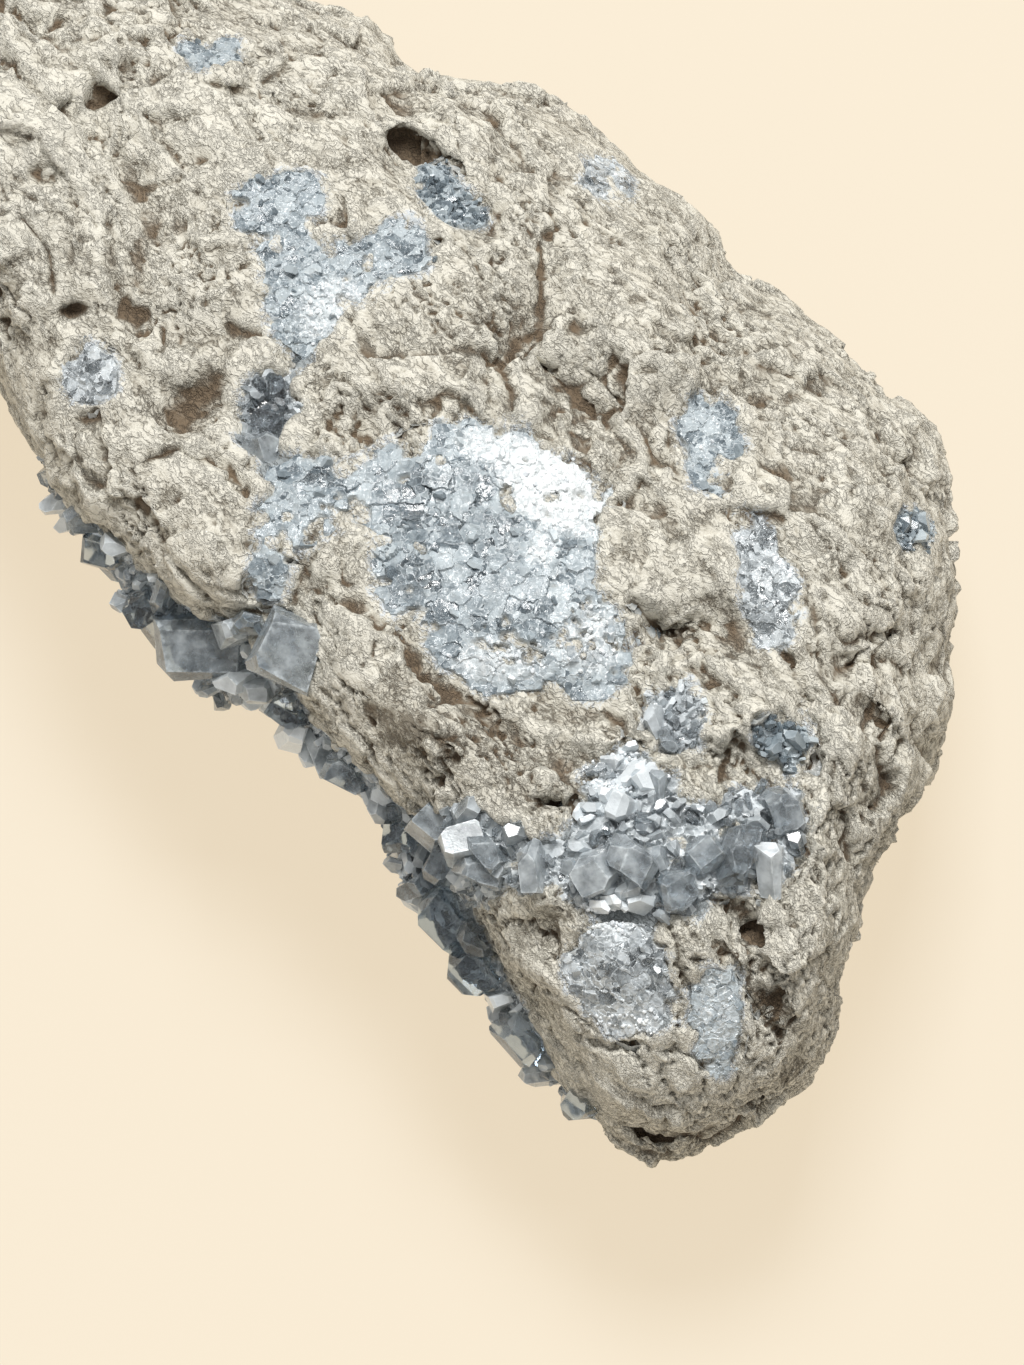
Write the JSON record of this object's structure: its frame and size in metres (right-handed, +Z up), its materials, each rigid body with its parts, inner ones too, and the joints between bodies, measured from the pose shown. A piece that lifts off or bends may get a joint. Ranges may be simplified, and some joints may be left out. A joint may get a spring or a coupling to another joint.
{
  "type": "celestite druse",
  "caption": "Celestite druse: grey-blue and white crystal crusts along one side and in patches over a lump of grey-beige matrix rock, lying as it rests by itself",
  "frame": {"origin": "bottom centre of the bounding box, on the surface that the specimen rests on", "axes": "+Z up; the broad matrix face looks up, the druse along the side that looks towards -X and -Y"},
  "size_m": [0.1389, 0.1735, 0.057],
  "materials": {
    "matrix_rock": "rough, grainy, broken rock",
    "celestite_blue": "glassy crystal faces, clear to cloudy grey-blue",
    "celestite_pale": "glassy to sugary, white to pale blue"
  },
  "bodies": {
    "root": {"matrix": "matrix_rock", "druse_crust": "celestite_blue", "central_patch": "celestite_pale", "upper_vein": "celestite_pale", "crystal_knot": "celestite_blue", "pear_patch": "celestite_blue", "slim_patch": "celestite_pale", "right_patch": "celestite_pale", "right_vein": "celestite_blue", "crevice_crystals": "celestite_blue", "left_pocket": "celestite_blue", "groove_beads": "celestite_pale", "right_pocket_beads": "celestite_pale", "top_patch": "celestite_pale", "rim_crystals": "celestite_blue", "block_crystals": "celestite_pale"}
  },
  "joints": []
}
